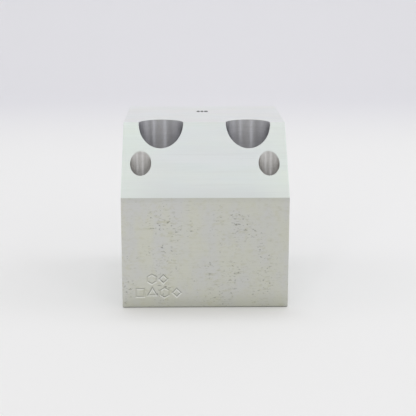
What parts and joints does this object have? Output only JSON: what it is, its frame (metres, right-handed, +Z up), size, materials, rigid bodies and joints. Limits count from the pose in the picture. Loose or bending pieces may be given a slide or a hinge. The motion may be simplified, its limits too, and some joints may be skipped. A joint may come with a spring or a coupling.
{
  "type": "hydraulic monoblock valve",
  "caption": "One-piece machined aluminium valve block with a chamfered front, counterbored fixing holes, flush plugs, threaded ports and a spring-centred spool.",
  "frame": {"origin": "middle of the flat mounting face that the block stands on", "axes": "+Z up, -Y towards the chamfered front, +X to the right as seen from the front, along the spool"},
  "size_m": [0.075, 0.0874, 0.0805],
  "materials": {
    "machined_aluminium": "milled faces with fine horizontal tool lines, faint stains and pits; reamed holes",
    "plated_steel": "bright zinc plate over turned steel",
    "ground_steel": "hardened and ground",
    "spring_steel": "oiled spring wire",
    "brass": "turned",
    "seal_rubber": "moulded nitrile"
  },
  "bodies": {
    "valve": {"valve_body": "machined_aluminium", "left_end_plug": "plated_steel", "right_end_plug": "plated_steel", "left_end_plug_seal": "seal_rubber", "right_end_plug_seal": "seal_rubber", "left_centring_spring": "spring_steel", "right_centring_spring": "spring_steel", "left_pilot_orifice": "brass", "right_pilot_orifice": "brass", "left_tank_drilling_plug": "plated_steel", "right_tank_drilling_plug": "plated_steel", "left_work_port_seal": "seal_rubber", "right_work_port_seal": "seal_rubber", "relief_seat": "ground_steel", "relief_spring": "spring_steel", "relief_bushing": "plated_steel", "relief_bushing_seal": "seal_rubber", "load_check_spring": "spring_steel", "load_check_plug": "plated_steel", "load_check_plug_seal": "seal_rubber", "pressure_cross_plug": "plated_steel", "tank_gallery_plug": "plated_steel", "pressure_riser_plug": "plated_steel", "relief_riser_plug": "plated_steel"},
    "spool": {"main_spool": "ground_steel", "left_spring_guide": "ground_steel", "right_spring_guide": "ground_steel"},
    "relief_cone": {"relief_poppet": "ground_steel"},
    "adjuster": {"relief_spring_disc": "ground_steel", "relief_adjusting_screw_seal": "seal_rubber"},
    "adjuster_screw": {"relief_adjusting_screw": "plated_steel"},
    "adjuster_nut": {"relief_locknut": "plated_steel"},
    "check_cone": {"load_check_poppet": "ground_steel"}
  },
  "joints": [
    {"name": "spool_shift", "type": "slide", "parent": "valve", "child": "spool", "axis": [1, 0, 0], "range_m": [-0.003, 0.003], "stiffness_N_per_m": 4000, "deforming": ["left_centring_spring", "right_centring_spring"]},
    {"name": "relief_lift", "type": "slide", "parent": "valve", "child": "relief_cone", "axis": [1, 0, 0], "range_m": [0, 0.0015], "stiffness_N_per_m": 8000, "springref_m": -0.002, "deforming": ["relief_spring"]},
    {"name": "adjuster_advance", "type": "slide", "parent": "valve", "child": "adjuster", "axis": [-1, 0, 0], "range_m": [-0.001, 0.001], "deforming": ["relief_spring"]},
    {"name": "adjuster_turn", "type": "hinge", "parent": "adjuster", "child": "adjuster_screw", "pos_m": [0.037, 0.031, 0.029], "axis": [-1, 0, 0], "range_deg": [-360, 360]},
    {"name": "locknut_turn", "type": "hinge", "parent": "valve", "child": "adjuster_nut", "pos_m": [0.0353, 0.031, 0.029], "axis": [-1, 0, 0], "range_deg": [-360, 0]},
    {"name": "load_check_lift", "type": "slide", "parent": "valve", "child": "check_cone", "axis": [0, 0, -1], "range_m": [0, 0.0025], "stiffness_N_per_m": 800, "springref_m": -0.003, "deforming": ["load_check_spring"]}
  ],
  "couplings": [
    {"joint": "adjuster_turn", "follows": "adjuster_advance", "rad_per_m": 6283}
  ]
}
